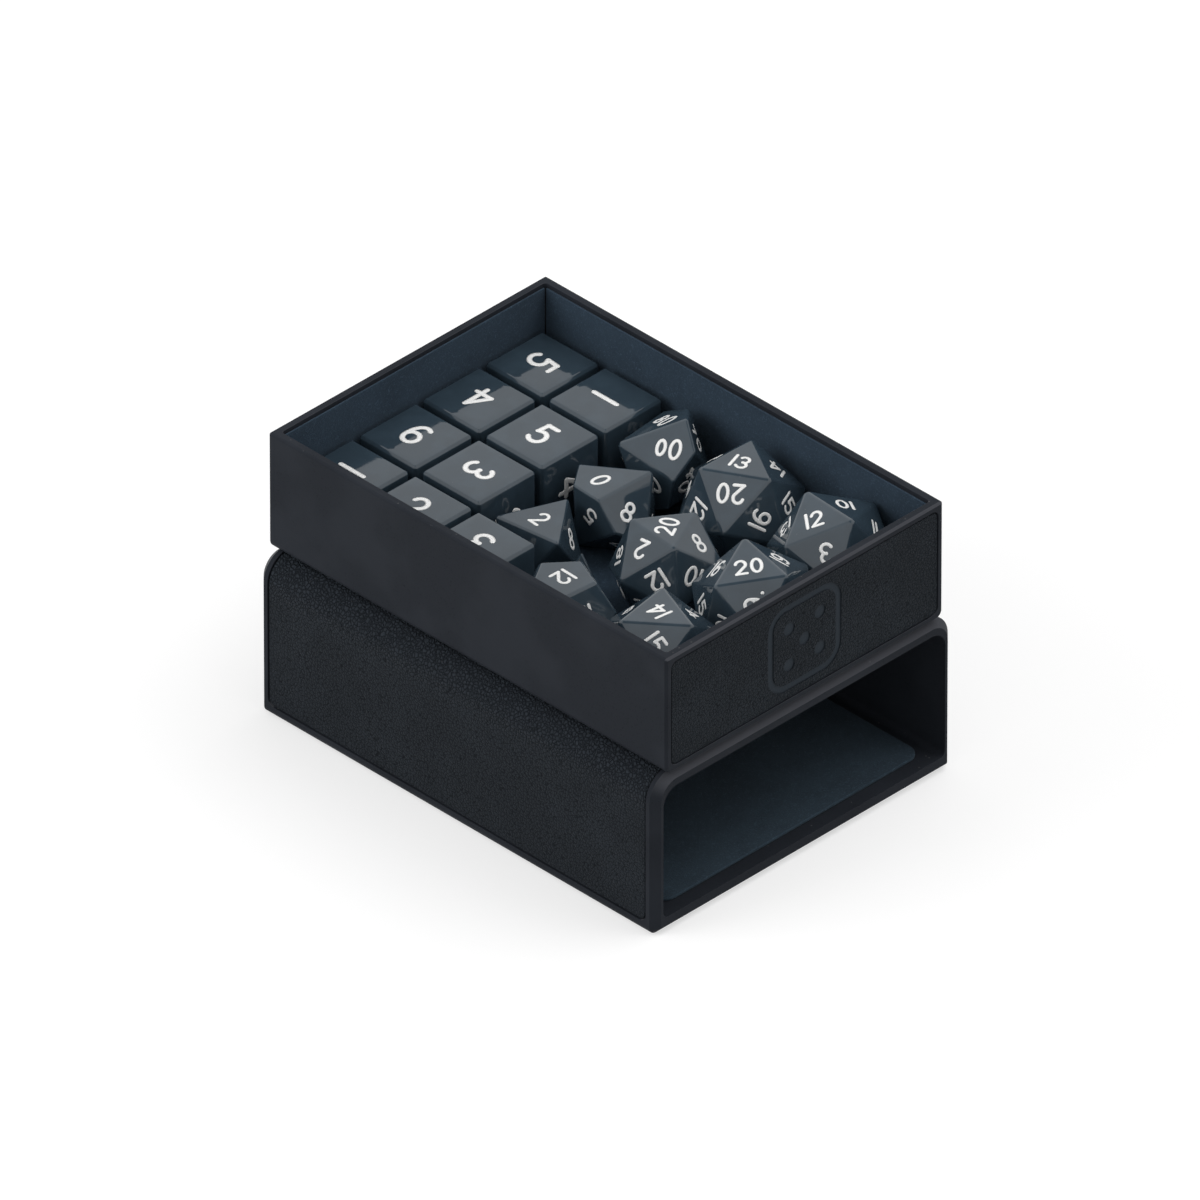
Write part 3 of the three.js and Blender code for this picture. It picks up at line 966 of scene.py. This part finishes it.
@dataclass
class Drawer:
    """The drawer: a moulded tray, its leather front and its felt.

    Attributes:
        tray_edge: Rounding of the tray's edges.
        panel_edge: Rounding of the front panel's edges.
        felt_edge: Rounding of the felts' edges.
        felts: Name of the finished piece for each felt's node.
    """

    tray_edge: Rounding = Rounding(0.12 * MM, 2, 28.0)
    panel_edge: Rounding = Rounding(0.14 * MM, 2, 40.0)
    felt_edge: Rounding = Rounding(0.1 * MM, 2, 40.0)
    felts: dict[str, str] = field(default_factory=lambda: {
        "drawer_floor_felt": "drawer_bed",
        "drawer_lining_left": "left_lining",
        "drawer_lining_right": "right_lining",
        "drawer_lining_front": "front_lining",
        "drawer_lining_rear": "rear_lining",
    })

    def build(self, nodes: Objects, finishes: Materials) -> None:
        """Builds the drawer's pieces.

        Args:
            nodes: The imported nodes.
            finishes: Materials by name.
        """
        body = Body.DRAWER.value
        tray = dressed(nodes["drawer_tray"], "drawer_shell", finishes["shell"], self.tray_edge)
        mount(tray, body, Slot.SHELL, "drawer_tray")
        # The front panel's leather is a lighter copy of the wrap's: painted light.
        front = dressed(nodes["drawer_front_leather"], "drawer_front_panel", finishes["panel"],
                        self.panel_edge)
        mount(front, body, Slot.LEATHER, "drawer_front_leather")
        for node, name in self.felts.items():
            laid = dressed(nodes[node], name, finishes["felt"], self.felt_edge)
            mount(laid, body, Slot.FELT, node)


def arc(centre: Point, radii: Point, start: float, stop: float, step: float = 18.0) -> list[Point]:
    """Points along an arc of an ellipse.

    Args:
        centre: Its centre.
        radii: Its radii.
        start: First angle, in degrees, anticlockwise from the right.
        stop: Last angle.
        step: Largest angle between points.

    Returns:
        The points.
    """
    count = max(2, math.ceil(abs(stop - start) / step))
    angles = [math.radians(start + (stop - start) * k / count) for k in range(count + 1)]
    return [(centre[0] + radii[0] * math.cos(a), centre[1] + radii[1] * math.sin(a)) for a in angles]


@dataclass(frozen=True)
class Glyph:
    """One numeral in a cell one unit high, drawn with round strokes.

    Attributes:
        width: Width between the outer centre lines.
        strokes: Centre lines; a line that ends where it starts is closed.
    """

    width: float
    strokes: tuple[tuple[Point, ...], ...]


def glyphs() -> dict[str, Glyph]:
    """Draws the numerals 0 to 9 and the dot that tells 6 from 9.

    Returns:
        Each by its character.
    """
    six_tail = [(0.0, 0.3), *arc((0.36, 0.42), (0.36, 0.58), 180, 62)]
    six = (tuple(arc((0.28, 0.29), (0.28, 0.29), 0, 360)), tuple(six_tail))
    nine = tuple(tuple((0.56 - x, 1.0 - y) for x, y in stroke) for stroke in six)
    three = (tuple(arc((0.26, 0.75), (0.25, 0.25), 150, -90)),
             tuple(arc((0.26, 0.26), (0.29, 0.26), 90, -150)))
    five = (((0.5, 1.0), (0.09, 1.0)), ((0.09, 1.0), (0.05, 0.56)),
            ((0.05, 0.56), *arc((0.25, 0.31), (0.29, 0.31), 118, -145)))
    two = ((*arc((0.27, 0.71), (0.27, 0.29), 165, -32), (0.0, 0.0)), ((0.0, 0.0), (0.56, 0.0)))
    four = (((0.44, 0.0), (0.44, 1.0)), ((0.44, 1.0), (0.0, 0.26)), ((0.0, 0.26), (0.62, 0.26)))
    return {
        "0": Glyph(0.54, (tuple(arc((0.27, 0.5), (0.27, 0.5), 0, 360)),)),
        "1": Glyph(0.0, (((0.0, 0.0), (0.0, 1.0)),)),
        "2": Glyph(0.56, two),
        "3": Glyph(0.56, three),
        "4": Glyph(0.62, four),
        "5": Glyph(0.54, five),
        "6": Glyph(0.56, six),
        "7": Glyph(0.52, (((0.0, 1.0), (0.52, 1.0)), ((0.52, 1.0), (0.14, 0.0)))),
        "8": Glyph(0.56, (tuple(arc((0.28, 0.75), (0.23, 0.25), -90, 270)),
                          tuple(arc((0.28, 0.25), (0.28, 0.25), 90, 450)))),
        "9": Glyph(0.56, nine),
        ".": Glyph(0.0, (((0.0, 0.0), (0.0, 0.001)),)),
    }


@dataclass
class NumeralMaker:
    """Models numerals as low rounded strokes.

    Attributes:
        stroke_share: Stroke's width over the numeral's height.
        proud: How far a stroke stands out, in metres.
        gap_share: Gap between two numerals over the height of their centre lines.
        step_share: How much higher each further stroke of a numeral lies, over how far they stand out.
        round_steps: Extra steps across a quarter of a stroke's round top.
        cap_turns: Where a stroke's round end has its points, in degrees.
        closed_within: A line whose ends are nearer than this is closed, in metres.
        weld_within: Corners nearer than this are one, in metres.
        shapes: The numerals.
    """

    stroke_share: float = 0.165
    proud: float = 0.03 * MM
    gap_share: float = 0.1
    step_share: float = 0.12
    round_steps: int = 1
    cap_turns: tuple[float, ...] = (25.0, 50.0, 70.0, 86.0)
    closed_within: float = 1e-6
    weld_within: float = 1e-7
    shapes: dict[str, Glyph] = field(default_factory=glyphs)

    def _stroke(self, curve: bpy.types.Curve, line: Sequence[Point], radius: float, lift: float) -> None:
        """Adds one stroke to a curve, with round ends where it is open.

        Args:
            curve: The curve that it is added to.
            line: Its centre line.
            radius: Half its width.
            lift: How high it lies.
        """
        closed = math.dist(line[0], line[-1]) < self.closed_within
        points = [Vector((x, y, lift)) for x, y in (line[:-1] if closed else line)]
        weights = [1.0] * len(points)
        if not closed:
            turns = [math.radians(angle) for angle in self.cap_turns]
            head = (points[0] - points[1]).normalized() * radius
            tail = (points[-1] - points[-2]).normalized() * radius
            front = [(points[0] + head * math.sin(a), math.cos(a)) for a in reversed(turns)]
            back = [(points[-1] + tail * math.sin(a), math.cos(a)) for a in turns]
            points = [p for p, _ in front] + points + [p for p, _ in back]
            weights = [w for _, w in front] + weights + [w for _, w in back]
        spline = curve.splines.new("POLY")
        spline.points.add(len(points) - 1)
        spline.use_cyclic_u = closed
        for target, place, weight in zip(spline.points, points, weights):
            target.co = (*place, 1.0)
            target.radius = weight

    def template(self, text: str, height: float, lead: float) -> bmesh.types.BMesh:
        """Models a number flat on the XY plane, centred, its top towards +Y.

        Args:
            text: The number.
            height: Its height, in metres.
            lead: Height of the first numeral over that of the others.

        Returns:
            The strokes as one mesh, which the caller frees.
        """
        centre_line = height * (1 - self.stroke_share)
        radius = height * self.stroke_share / 2
        curve = bpy.data.curves.new("numeral", "CURVE")
        curve.dimensions = "3D"
        curve.bevel_depth = radius
        curve.bevel_resolution = self.round_steps
        curve.use_fill_caps = True
        pen = 0.0
        step = 2 * radius + self.gap_share * centre_line
        for k, mark in enumerate(text):
            shape = self.shapes[mark]
            size = centre_line * (lead if k == 0 else 1.0)
            rise = (centre_line - size) / 2
            for order, stroke in enumerate(shape.strokes):
                line = [(pen + x * size, rise + y * size) for x, y in stroke]
                self._stroke(curve, line, radius, order * self.step_share * radius)
            pen += shape.width * size + step
        width = pen - step
        holder = stand("numeral", curve)
        graph = bpy.context.evaluated_depsgraph_get()
        mesh = bpy.data.meshes.new_from_object(holder.evaluated_get(graph))
        strokes = bmesh.new()
        strokes.from_mesh(mesh)
        bpy.data.objects.remove(holder)
        bpy.data.curves.remove(curve)
        bpy.data.meshes.remove(mesh)
        bmesh.ops.remove_doubles(strokes, verts=strokes.verts[:], dist=self.weld_within)
        middle = (-width / 2, -centre_line / 2, 0.0)
        bmesh.ops.translate(strokes, verts=strokes.verts[:], vec=middle)
        bmesh.ops.scale(strokes, verts=strokes.verts[:], vec=(1.0, 1.0, self.proud / radius))
        return strokes

    def place(self, target: bmesh.types.BMesh, text: str, height: float, seat: Matrix, lead: float) -> None:
        """Adds a number to a mesh.

        Args:
            target: The mesh that gets it.
            text: The number.
            height: Its height, in metres.
            seat: Where its plane, centre and top are.
            lead: Height of the first numeral over that of the others.
        """
        strokes = self.template(text, height, lead)
        bmesh.ops.transform(strokes, matrix=seat, verts=strokes.verts[:])
        carried = bpy.data.meshes.new("numeral")
        strokes.to_mesh(carried)
        strokes.free()
        target.from_mesh(carried)
        bpy.data.meshes.remove(carried)


@dataclass(frozen=True)
class Label:
    """A number on the face that looks in a direction.

    Attributes:
        text: The number.
        look: Azimuth and elevation that the face looks at, in degrees, azimuth from +X.
        top: Azimuth and elevation that the number's top points at.
    """

    text: str
    look: Point
    top: Point


def heading(angles: Point) -> Vector:
    """Turns two angles into a direction.

    Args:
        angles: Azimuth from +X and elevation, in degrees.

    Returns:
        The unit vector.
    """
    azimuth, elevation = (math.radians(angle) for angle in angles)
    flat = math.cos(elevation)
    return Vector((flat * math.cos(azimuth), flat * math.sin(azimuth), math.sin(elevation)))


@dataclass
class Die:
    """One die: a polished body and its numerals.

    Attributes:
        node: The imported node.
        kind: Its number of main faces.
        numeral: Height of its numerals, in metres.
        labels: Numbers whose faces are known; the others follow.
        edge: Rounding of its chamfers' edges.
        tens: True where its numbers are tens, with a smaller first numeral.
        tens_lead: Height of that first numeral over that of the other.
        painted: False where its numerals are left in bare resin.
        corner_share: How far out a D4's numerals stand, over the way from a face's middle to its corner.
        crown_width: How far in from its edges a cube's face starts to fall, in metres.
        crown_fall: How far it falls.
    """

    node: str
    kind: DieKind
    numeral: float
    labels: Sequence[Label] = ()
    edge: Rounding = Rounding(0.16 * MM, 3, 12.0)
    tens: bool = False
    tens_lead: float = 0.8
    painted: bool = True
    corner_share: float = 0.5
    crown_width: float = 2.3 * MM
    crown_fall: float = 0.14 * MM

    def build(self, nodes: Objects, finishes: Materials, maker: NumeralMaker) -> None:
        """Builds the die and its numerals.

        Args:
            nodes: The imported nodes.
            finishes: Materials by name.
            maker: Models the numerals.
        """
        solid = merged_copy(nodes[self.node])
        numerals = bmesh.new()
        faces = self._main_faces(solid)
        if self.kind is DieKind.D6:
            self._crown(solid)
        lead = self.tens_lead if self.tens else 1.0
        for text, place, normal, up in self._marks(faces):
            seat = Matrix((up.cross(normal), up, normal)).transposed().to_4x4()
            seat.translation = place
            maker.place(numerals, text, self.numeral, seat, lead)
        soften(solid, self.edge)
        body = f"die_{self.node}"
        resin = piece_from(solid, f"{self.node}_resin", finishes["dice"], DIE_SMOOTH_BELOW)
        mount(resin, body, Slot.DICE, self.node)
        paint, slot = ("numerals", Slot.NUMERALS) if self.painted else ("dice", Slot.DICE)
        mount(piece_from(numerals, f"{self.node}_numerals", finishes[paint], ALL_SMOOTH), body, slot)

    def _largest(self, solid: bmesh.types.BMesh) -> list[bmesh.types.BMFace]:
        """The die's main faces, which are larger than its chamfers."""
        return sorted(solid.faces, key=lambda face: face.calc_area(), reverse=True)[:self.kind.value]

    def _crown(self, solid: bmesh.types.BMesh) -> None:
        """Lets a cube's faces fall away a little towards their edges, as polished faces do.

        Args:
            solid: The cube's solid.
        """
        rims = solid.verts[:]
        centre = sum((vert.co for vert in rims), Vector()) / len(rims)
        bmesh.ops.inset_individual(solid, faces=self._largest(solid), thickness=self.crown_width)
        half = max(vert.co.z for vert in rims) - centre.z
        for vert in rims:
            vert.co = centre + (vert.co - centre) * (1 - self.crown_fall / half)

    def _marks(self, faces: Sequence[NumberedFace]) -> list[tuple[str, Vector, Vector, Vector]]:
        """Places the numbers: one in the middle of each face, or one at each corner of a D4's faces.

        Args:
            faces: The faces that carry numbers.

        Returns:
            For each number its text, its middle, its face's normal and the way that its top points.
        """
        if self.kind is DieKind.D4:
            centre = sum((place for place, _, _ in faces), Vector()) / len(faces)
            marks = []
            for place, normal, ways in faces:
                for way in ways:
                    corner = place + way - centre
                    number = min(range(len(faces)), key=lambda k: faces[k][1].dot(corner)) + 1
                    middle = place + way * self.corner_share
                    marks.append((str(number), middle, normal, way.normalized()))
            return marks
        marks = []
        for (place, normal, ways), (text, top) in zip(faces, self._numbers(faces)):
            way = top - normal * top.dot(normal) if top else ways[0]
            marks.append((text, place, normal, way.normalized()))
        return marks

    def _main_faces(self, solid: bmesh.types.BMesh) -> list[NumberedFace]:
        """Finds the faces that carry numbers.

        Args:
            solid: The die's solid.

        Returns:
            For each its middle, its normal and the ways from there that a number's top can point.
        """
        found = []
        for face in self._largest(solid):
            middle = face.calc_center_median()
            corners = [vert.co.copy() for vert in face.verts]
            if self.kind is DieKind.D6:
                ahead = corners[1:] + corners[:1]
                aims = [(a + b) / 2 for a, b in zip(corners, ahead)]
            elif self.kind is DieKind.D10:
                far = max(corners, key=lambda corner: (corner - middle).length)
                aims = [far, 2 * middle - far]
            else:
                aims = corners
            found.append((middle, face.normal.copy(), [aim - middle for aim in aims]))
        return found

    def _numbers(self, faces: Sequence[NumberedFace]) -> list[tuple[str, Vector | None]]:
        """Gives each face its number; numbers on opposite faces add up as on real dice.

        Args:
            faces: The faces that carry numbers.

        Returns:
            For each face its number, and where the number's top points if that is known.
        """
        count = self.kind.value
        first = 0 if self.kind is DieKind.D10 else 1
        total = count - 1 + 2 * first
        given: dict[int, tuple[int, Vector]] = {}
        for label in self.labels:
            look = heading(label.look)
            index = max(range(count), key=lambda k: faces[k][1].dot(look))
            value = int(label.text.strip("."))
            given[index] = (value // 10 if self.tens else value, heading(label.top))
        values: dict[int, int] = {index: value for index, (value, _) in given.items()}
        left = [value for value in range(first, first + count) if value not in values.values()]
        for index in range(count):
            if index in values:
                continue
            across = min(range(count), key=lambda k: faces[k][1].dot(faces[index][1]))
            wanted = total - values[across] if across in values else None
            value = wanted if wanted in left else left[0]
            values[index] = value
            left.remove(value)
        return [(self._text(values[index]), given[index][1] if index in given else None)
                for index in range(count)]

    def _text(self, value: int) -> str:
        """Writes a number as it stands on this die.

        Args:
            value: The number; on a die of tens, how many tens.

        Returns:
            Its characters.
        """
        if self.tens:
            return f"{value}0"
        dotted = value in (6, 9) and self.kind is not DieKind.D6
        return f"{value}." if dotted else str(value)


@dataclass
class DiceSet:
    """All the dice that lie in the drawer.

    Attributes:
        maker: Models the numerals.
        cube_numeral: Height of the cubes' numerals, in metres.
        big_numeral: Height of the twenty-sided dice's numerals.
        small_numeral: Height of the numerals of the dice with 8 to 12 sides.
        corner_numeral: Height of the numerals at the four-sided die's corners.
    """

    maker: NumeralMaker = field(default_factory=NumeralMaker)
    cube_numeral: float = 6.7 * MM
    big_numeral: float = 4.0 * MM
    small_numeral: float = 4.2 * MM
    corner_numeral: float = 3.0 * MM

    def dice(self) -> list[Die]:
        """Lists the dice with the numbers that can be told.

        Returns:
            The dice.
        """
        north, south, east, west = (90, 0), (-90, 0), (0, 0), (180, 0)
        up = (0, 90)
        tops = [("1", north), ("6", east), ("4", west), ("5", south), ("2", east), ("3", south),
                ("5", east), ("1", north), ("3", west)]
        cubes = [Die(f"d6_{k + 1}", DieKind.D6, self.cube_numeral, [Label(text, up, way)])
                 for k, (text, way) in enumerate(tops)]
        twenties = {
            "d20_1": [Label("13", up, (18, 0)), Label("20", (-151, 48), (-145, -42)),
                      Label("16", (-113, 20), (144, 33)), Label("15", (-69, 20), (23, 4)),
                      Label("14", (-31, 48), (-145, 20)), Label("12", (171, 20), (-101, -7))],
            "d20_2": [Label("12", (168, 68), (52, 10)), Label("10", (2, 70), (-123, 12)),
                      Label("3", (-143, 36), (-135, -53)), Label("13", (128, 33), (-137, 7)),
                      Label("11", (-50, 38), (52, 15))],
            "d20_3": [Label("20", (-170, 79), (51, 8)), Label("19", (-15, 58), (118, 23)),
                      Label("16", (121, 45), (6, 23)), Label("9", (-136, 40), (138, -5))],
            "d20_4": [Label("14", up, (172, 0)), Label("15", (-141, 48), (-20, 25)),
                      Label("4", (-21, 48), (17, -35)), Label("8", (99, 48), (31, -18))],
            "d20_small": [Label("20", up, (118, 0)), Label("2", (176, 48), (-173, -41)),
                          Label("8", (-64, 48), (89, 39)), Label("12", (-146, 20), (-81, -49)),
                          Label("10", (-102, 20), (-168, -50)), Label("18", (138, 20), (67, -42))],
        }
        small = self.small_numeral
        return [
            *cubes,
            *[Die(node, DieKind.D20, self.big_numeral, labels) for node, labels in twenties.items()],
            Die("d12", DieKind.D12, small, [Label("12", up, (-92, 0)), Label("11", (-94, 27), (90, 63))]),
            Die("d10", DieKind.D10, small, [Label("0", up, (166, 0)), Label("8", (-92, 39), (18, 22)),
                                            Label("5", (177, -2), (84, -57)),
                                            Label("6", (-53, 2), (38, 32))]),
            Die("d10_tens", DieKind.D10, small, [Label("00", (-163, 52), (27, 37)),
                                                 Label("80", (95, 61), (-16, 11)),
                                                 Label("70", (-42, 19), (41, -21))], tens=True),
            Die("d8", DieKind.D8, small, [Label("2", up, (-4, 0)), Label("8", (-52, 20), (58, 45))]),
            Die("d4", DieKind.D4, self.corner_numeral, painted=False),
        ]

    def build(self, nodes: Objects, finishes: Materials) -> None:
        """Builds every die.

        Args:
            nodes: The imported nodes.
            finishes: Materials by name.
        """
        for die in self.dice():
            die.build(nodes, finishes, self.maker)


@dataclass(frozen=True)
class Lamp:
    """One soft area lamp.

    Attributes:
        name: Its name.
        azimuth: Where it stands round the chest, in degrees from -Y, anticlockwise seen from above.
        elevation: Its height above the horizon, in degrees.
        power: Its power, in watts.
        size: Its side, in metres.
    """

    name: str
    azimuth: float
    elevation: float
    power: float
    size: float = 0.9


@dataclass
class Studio:
    """Floor, lamps, world and camera.

    Attributes:
        azimuth: Where the camera stands, in degrees from -Y, anticlockwise seen from above.
        elevation: Its height above the horizon, in degrees.
        lens: Its focal length, in millimetres.
        sensor: Its sensor's width, in millimetres.
        view_width: Width of what it sees at the chest, in metres.
        aim_right: How far to the right of the origin it aims, in metres.
        aim_up: How far above the origin it aims, across its line of sight.
        near_share: Where its view starts, over its distance.
        far_share: Where its view ends, over its distance.
        lamps: The lamps.
        lamp_distance: How far off they hang, in metres.
        sky: Strength of the world's light.
        dark_overhead: Height on the unit sphere where the darker part overhead starts and is full.
        dark_share: How much of the reflected white that part takes away.
        floor_reach: Half the floor's width, in metres.
        floor_colour: The floor's colour, linear.
        floor_roughness: The floor's roughness.
        floor_glow: How much whiter the floor looks to the camera than it lights the chest.
    """

    azimuth: float = -45.0
    elevation: float = 35.0
    lens: float = 1400.0
    sensor: float = 36.0
    view_width: float = 216.2 * MM
    aim_right: float = -0.969 * MM
    aim_up: float = 24.87 * MM
    near_share: float = 0.1
    far_share: float = 4.0
    lamps: tuple[Lamp, ...] = (
        Lamp("left_softbox", -120.0, 30.0, 8.0),
        Lamp("right_softbox", 38.0, 45.0, 2.5),
        Lamp("overhead_softbox", 60.0, 68.0, 5.5),
    )
    lamp_distance: float = 1.4
    sky: float = 0.55
    dark_overhead: Range = (0.87, 0.96)
    dark_share: float = 0.85
    floor_reach: float = 3.0
    floor_colour: Colour = (0.5, 0.5, 0.5)
    floor_roughness: float = 0.9
    floor_glow: float = 0.57

    @staticmethod
    def direction(azimuth: float, elevation: float) -> Vector:
        """Unit vector from the chest towards a place round it."""
        a, e = math.radians(azimuth), math.radians(elevation)
        return Vector((math.sin(a) * math.cos(e), -math.cos(a) * math.cos(e), math.sin(e)))

    def set_camera(self) -> None:
        """Stands the camera far off behind a long lens, so that parallel edges stay parallel."""
        back = self.direction(self.azimuth, self.elevation)
        data = bpy.data.cameras.new("camera")
        data.lens, data.sensor_width = self.lens, self.sensor
        distance = self.view_width * self.lens / self.sensor
        data.clip_start, data.clip_end = distance * self.near_share, distance * self.far_share
        camera = stand("camera", data)
        right = Vector((-back.y, back.x, 0.0)).normalized()
        above = back.cross(right)
        centre = right * self.aim_right + above * self.aim_up
        camera.location = centre + back * distance
        camera.rotation_euler = (-back).to_track_quat("-Z", "Y").to_euler()
        bpy.context.scene.camera = camera

    def set_lamps(self) -> None:
        """Hangs the lamps round the chest."""
        for lamp in self.lamps:
            data = bpy.data.lights.new(lamp.name, "AREA")
            data.energy, data.size = lamp.power, lamp.size
            made = stand(lamp.name, data)
            towards = self.direction(lamp.azimuth, lamp.elevation)
            made.location = towards * self.lamp_distance
            made.visible_glossy = False
            made.rotation_mode = "QUATERNION"
            made.rotation_quaternion = (-towards).to_track_quat("-Z", "Y")

    def set_world(self) -> None:
        """Lights the chest evenly, and shows white to the camera and to reflections."""
        world = bpy.data.worlds.new("studio")
        world.use_nodes = True
        board = Board(world.node_tree)
        background = world.node_tree.nodes["Background"]
        looking, glossy = board.viewing_rays()
        white = board.math("ADD", board.math("MULTIPLY", looking, 1.0 - self.sky), self.sky)
        towards = board.axes(board.add("ShaderNodeTexCoord").outputs["Generated"])
        darker = board.spread(towards["Z"], *self.dark_overhead, 0.0, self.dark_share)
        left = board.math("SUBTRACT", 1.0, board.math("MULTIPLY", glossy, darker))
        board.feed(WHITE, background.inputs["Color"])
        board.feed(board.math("MULTIPLY", white, left), background.inputs["Strength"])
        bpy.context.scene.world = world

    def set_floor(self) -> None:
        """Lays the plain pale floor."""
        sheet = bmesh.new()
        bmesh.ops.create_grid(sheet, x_segments=1, y_segments=1, size=self.floor_reach)
        mesh = bpy.data.meshes.new("floor")
        sheet.to_mesh(mesh)
        sheet.free()
        material, board, shader = principled("pale_floor", self.floor_colour, self.floor_roughness,
                                             specular=0.0)
        looking, _ = board.viewing_rays()
        board.feed(WHITE, shader.inputs["Emission Color"])
        glow = board.math("MULTIPLY", looking, self.floor_glow)
        board.feed(glow, shader.inputs["Emission Strength"])
        mesh.materials.append(material)
        made = stand("floor", mesh)

    def build(self) -> None:
        """Sets up the whole studio."""
        self.set_camera()
        self.set_lamps()
        self.set_world()
        self.set_floor()
        bpy.context.scene.view_settings.view_transform = "Standard"


def make_finishes(effects: Effects) -> Materials:
    """Makes every finish of the chest.

    Args:
        effects: The shared groups.

    Returns:
        Materials by name.
    """
    finishes = {
        "shell": ShellPlastic("moulded_shell", (0.0218, 0.0250, 0.0312), roughness=0.48, specular=0.03),
        "wrap": GrainedLeather("leather_wrap", (0.0186, 0.0226, 0.0278), roughness=0.5, specular=0.04,
                               bend_from=24.0, bend_to=31.0),
        # The panel's leather is the wrap's made lighter, making up for the weaker lamp on the front:
        # painted light.
        "panel": GrainedLeather("lightened_leather_panel", (0.0195, 0.0242, 0.0298), roughness=0.5, specular=0.04,
                                pebble=0.6, depth=0.15, pressed_from=-50.3),
        "felt": WoolFelt("drawer_felt", (0.0345, 0.0560, 0.0820), roughness=0.95, specular=0.04),
        # The sleeve's felt is the drawer's felt made darker: painted shade for the sleeve's dim inside.
        "pad": WoolFelt("sleeve_felt", (0.0310, 0.0495, 0.0680), roughness=0.95, specular=0.04),
        "dice": CastResin("dice_resin", (0.0300, 0.0470, 0.0630), roughness=0.05, specular=0.66),
        "numerals": NumeralPaint("numeral_paint", (0.90, 0.90, 0.89), roughness=0.35),
    }
    return {key: finish.make(effects) for key, finish in finishes.items()}


def main() -> None:
    """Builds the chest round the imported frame."""
    logging.basicConfig(level=logging.INFO, format="%(name)s: %(message)s")
    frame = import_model()
    Studio().build()
    finishes = make_finishes(Effects())
    Sleeve().build(frame["nodes"], finishes)
    Drawer().build(frame["nodes"], finishes)
    DiceSet().build(frame["nodes"], finishes)


if __name__ == "__main__":
    main()
